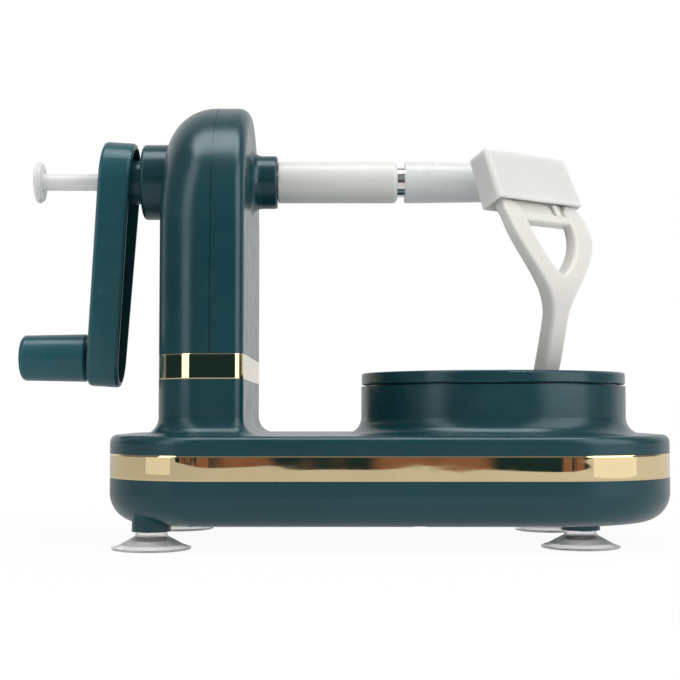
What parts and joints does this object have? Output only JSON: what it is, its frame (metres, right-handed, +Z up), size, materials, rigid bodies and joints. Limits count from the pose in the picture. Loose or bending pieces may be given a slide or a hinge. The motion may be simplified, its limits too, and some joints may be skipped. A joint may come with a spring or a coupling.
{
  "type": "crank fruit peeler",
  "caption": "Table-top hand-crank fruit peeler with suction-cup base, slab column, crank and push ejector, fruit fork with cover, turntable and sprung blade arm with guard.",
  "frame": {"origin": "centre of the bounding box's bottom face, on the table", "axes": "+X from the crank to the turntable, -Y towards the picture's viewer, +Z up"},
  "size_m": [0.272, 0.134, 0.1834],
  "materials": {
    "teal_abs": "satin moulded ABS, dark teal",
    "gold_trim": "vacuum-metallised pale gold strip",
    "clear_pvc": "clear soft PVC",
    "steel": "bright drawn steel",
    "nylon": "natural acetal",
    "chrome": "polished chrome",
    "ivory_abs": "ivory-white gloss ABS",
    "cool_white": "bluish-white gloss",
    "guard_white": "white satin",
    "arm_white": "warm white satin, slightly translucent",
    "rod_white": "white gloss"
  },
  "bodies": {
    "frame": {"base_upper_shell": "teal_abs", "base_lower_shell": "teal_abs", "base_trim_band": "gold_trim", "cup_front_left": "clear_pvc", "cup_front_right": "clear_pvc", "cup_back_left": "clear_pvc", "cup_back_right": "clear_pvc", "base_screws": "steel", "column_left_shell": "teal_abs", "column_right_shell": "teal_abs", "column_trim_ring": "gold_trim", "column_screws": "steel", "crank_bush": "nylon", "fork_bush": "nylon", "idler_pin": "steel"},
    "crank": {"main_shaft": "steel", "worm": "nylon", "crank_arm": "teal_abs", "grip_axle": "steel", "shaft_clip": "steel", "fruit_sleeve": "ivory_abs", "fork": "chrome"},
    "grip": {"grip": "teal_abs"},
    "ejector": {"ejector_rod": "rod_white", "ejector_button": "rod_white"},
    "fork_cover": {"fork_cover": "cool_white"},
    "lay_shaft": {"lay_shaft": "steel", "worm_wheel": "nylon", "drive_pinion": "nylon"},
    "idler": {"idler_gear": "nylon"},
    "turntable": {"turntable": "teal_abs", "turntable_gear": "nylon", "gear_clip": "steel", "hinge_pin": "steel", "arm_spring": "steel"},
    "arm": {"blade_arm": "arm_white", "blade_pins": "steel"},
    "blade": {"blade": "steel"},
    "guard": {"blade_guard": "guard_white"}
  },
  "joints": [
    {"name": "crank_turn", "type": "hinge", "parent": "frame", "child": "crank", "pos_m": [-0.08, 0, 0.1525], "axis": [1, 0, 0], "range_deg": [-1260, 4500]},
    {"name": "grip_spin", "type": "hinge", "parent": "crank", "child": "grip", "pos_m": [-0.121, 0, 0.0767], "axis": [1, 0, 0], "continuous": true},
    {"name": "ejector_push", "type": "slide", "parent": "crank", "child": "ejector", "axis": [1, 0, 0], "range_m": [0, 0.022]},
    {"name": "fork_cover_pull", "type": "slide", "parent": "crank", "child": "fork_cover", "axis": [1, 0, 0], "range_m": [0, 0.007]},
    {"name": "lay_shaft_turn", "type": "hinge", "parent": "frame", "child": "lay_shaft", "pos_m": [-0.055, 0.01915, 0.03], "axis": [0, 0, 1], "range_deg": [-70.1, 250.1]},
    {"name": "idler_turn", "type": "hinge", "parent": "frame", "child": "idler", "pos_m": [-0.00235, 0.01308, 0.028], "axis": [0, 0, 1], "range_deg": [-151.7, 42.6]},
    {"name": "turntable_turn", "type": "hinge", "parent": "frame", "child": "turntable", "pos_m": [0.0654, 0, 0.06], "axis": [0, 0, 1], "range_deg": [-39, 139]},
    {"name": "arm_swing", "type": "hinge", "parent": "turntable", "child": "arm", "pos_m": [0.08337, -0.02402, 0.0625], "axis": [0.8007, 0.599, 0], "range_deg": [0, 30], "stiffness_Nm_per_rad": 0.25, "springref_deg": -20.05, "deforming": ["arm_spring"]},
    {"name": "blade_swivel", "type": "hinge", "parent": "arm", "child": "blade", "pos_m": [0.0778, -0.01657, 0.1496], "axis": [0.8007, 0.599, 0], "range_deg": [-15, 15]},
    {"name": "guard_pull", "type": "slide", "parent": "arm", "child": "guard", "axis": [-0.2436, 0.3257, 0.9135], "range_m": [0, 0.03]}
  ],
  "couplings": [
    {"joint": "lay_shaft_turn", "follows": "crank_turn", "ratio": 0.055556},
    {"joint": "idler_turn", "follows": "crank_turn", "ratio": -0.03367},
    {"joint": "turntable_turn", "follows": "crank_turn", "ratio": 0.030864}
  ]
}
